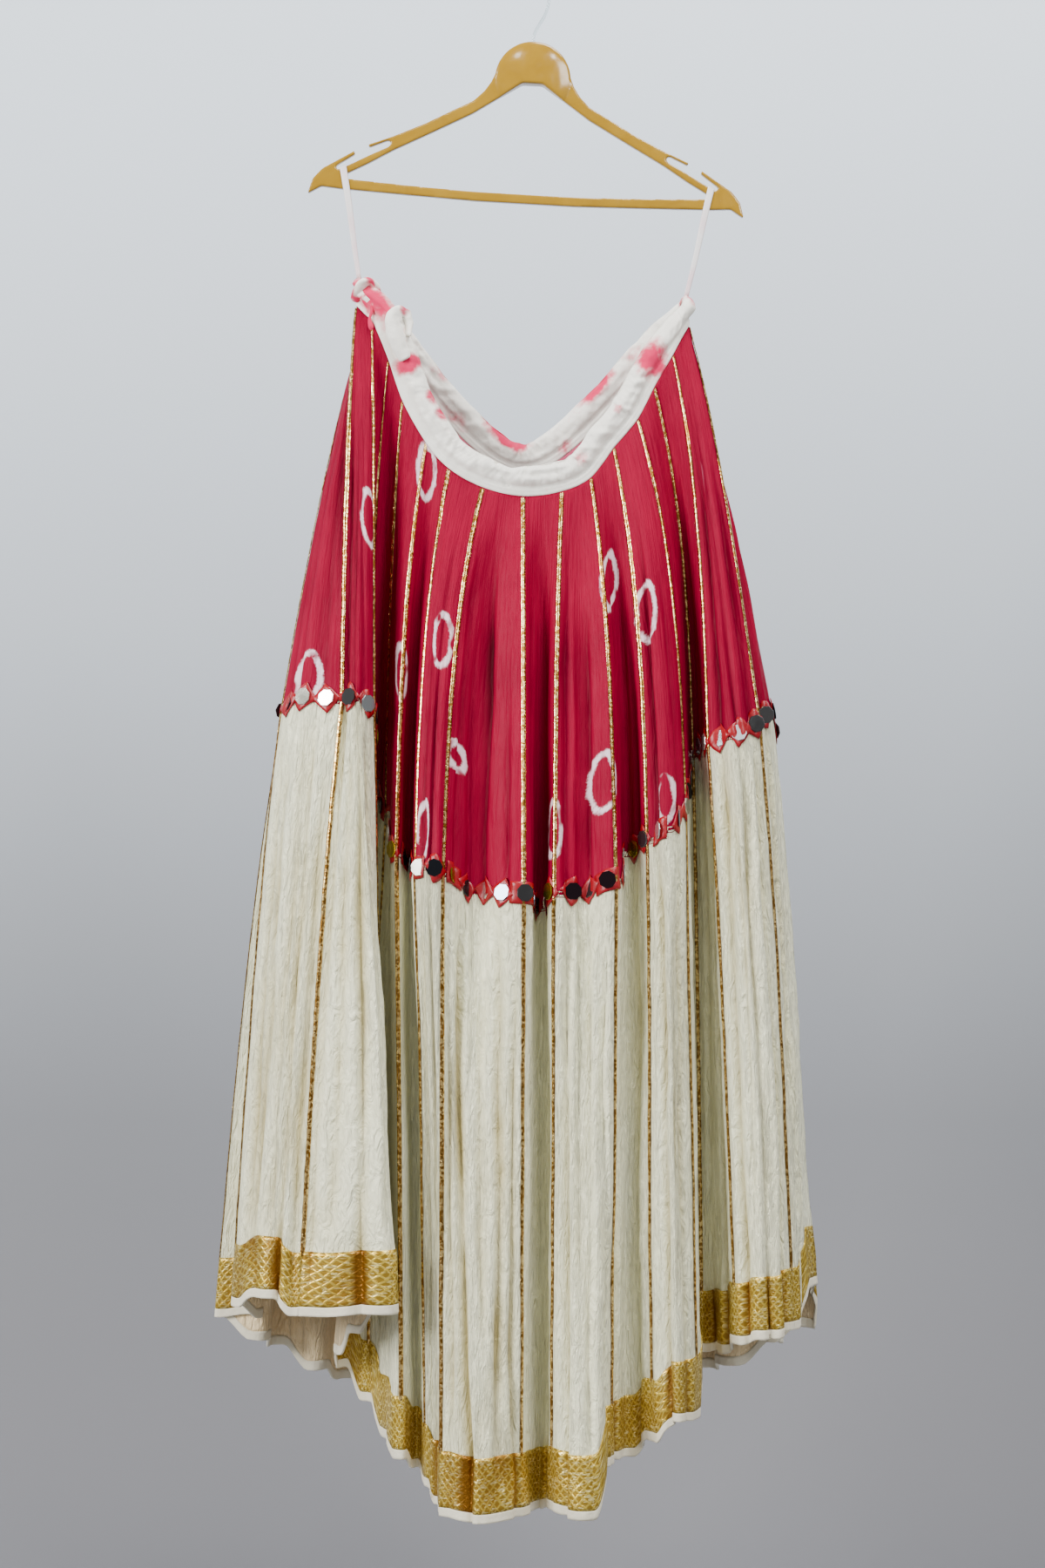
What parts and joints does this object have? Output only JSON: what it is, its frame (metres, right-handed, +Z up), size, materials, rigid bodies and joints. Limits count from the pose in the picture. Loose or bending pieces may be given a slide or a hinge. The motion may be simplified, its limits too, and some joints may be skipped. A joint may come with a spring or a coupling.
{
  "type": "lehenga skirt on a hanger",
  "caption": "Long flared two-tier lehenga skirt of many gores, magenta over cream with mirror trim and brocade hem, hanging by two ribbon loops from a plastic hanger.",
  "frame": {"origin": "inner top of the hook's bend, where the hanger rests on its rail", "axes": "+Z up along the hanging skirt, -Y towards the front of the skirt, +X to the viewer's right"},
  "size_m": [0.6049, 0.2487, 1.5614],
  "materials": {
    "magenta_silk": "magenta art silk with tie-dyed white rings, soft sheen",
    "cream_crushed_silk": "cream crushed silk with fine vertical crinkle, slightly translucent",
    "tie_dyed_cotton": "white cotton with pink tie-dyed patches, puffy",
    "mirror_trim": "folded red ribbon with small mirror tiles",
    "zari_brocade": "gold zari brocade ribbon",
    "white_cotton": "white cotton",
    "ribbon": "white woven ribbon",
    "moulded_plastic": "glossy tan moulded plastic",
    "clear_plastic": "clear plastic, pale"
  },
  "bodies": {
    "root": {"kali_upper_01": "magenta_silk", "kali_upper_02": "magenta_silk", "kali_upper_03": "magenta_silk", "kali_upper_04": "magenta_silk", "kali_upper_05": "magenta_silk", "kali_upper_06": "magenta_silk", "kali_upper_07": "magenta_silk", "kali_upper_08": "magenta_silk", "kali_upper_09": "magenta_silk", "kali_upper_10": "magenta_silk", "kali_upper_11": "magenta_silk", "kali_upper_12": "magenta_silk", "kali_upper_13": "magenta_silk", "kali_upper_14": "magenta_silk", "kali_upper_15": "magenta_silk", "kali_upper_16": "magenta_silk", "kali_upper_17": "magenta_silk", "kali_upper_18": "magenta_silk", "kali_upper_19": "magenta_silk", "kali_upper_20": "magenta_silk", "kali_upper_21": "magenta_silk", "kali_upper_22": "magenta_silk", "kali_upper_23": "magenta_silk", "kali_upper_24": "magenta_silk", "kali_upper_25": "magenta_silk", "kali_upper_26": "magenta_silk", "kali_lower_01": "cream_crushed_silk", "kali_lower_02": "cream_crushed_silk", "kali_lower_03": "cream_crushed_silk", "kali_lower_04": "cream_crushed_silk", "kali_lower_05": "cream_crushed_silk", "kali_lower_06": "cream_crushed_silk", "kali_lower_07": "cream_crushed_silk", "kali_lower_08": "cream_crushed_silk", "kali_lower_09": "cream_crushed_silk", "kali_lower_10": "cream_crushed_silk", "kali_lower_11": "cream_crushed_silk", "kali_lower_12": "cream_crushed_silk", "kali_lower_13": "cream_crushed_silk", "kali_lower_14": "cream_crushed_silk", "kali_lower_15": "cream_crushed_silk", "kali_lower_16": "cream_crushed_silk", "kali_lower_17": "cream_crushed_silk", "kali_lower_18": "cream_crushed_silk", "kali_lower_19": "cream_crushed_silk", "kali_lower_20": "cream_crushed_silk", "kali_lower_21": "cream_crushed_silk", "kali_lower_22": "cream_crushed_silk", "kali_lower_23": "cream_crushed_silk", "kali_lower_24": "cream_crushed_silk", "kali_lower_25": "cream_crushed_silk", "kali_lower_26": "cream_crushed_silk", "waistband": "tie_dyed_cotton", "mirror_trim": "mirror_trim", "zari_border": "zari_brocade", "hem_facing": "white_cotton", "hanging_loop_left": "ribbon", "hanging_loop_right": "ribbon", "hanger": "moulded_plastic", "hanger_hook": "clear_plastic"}
  },
  "joints": []
}
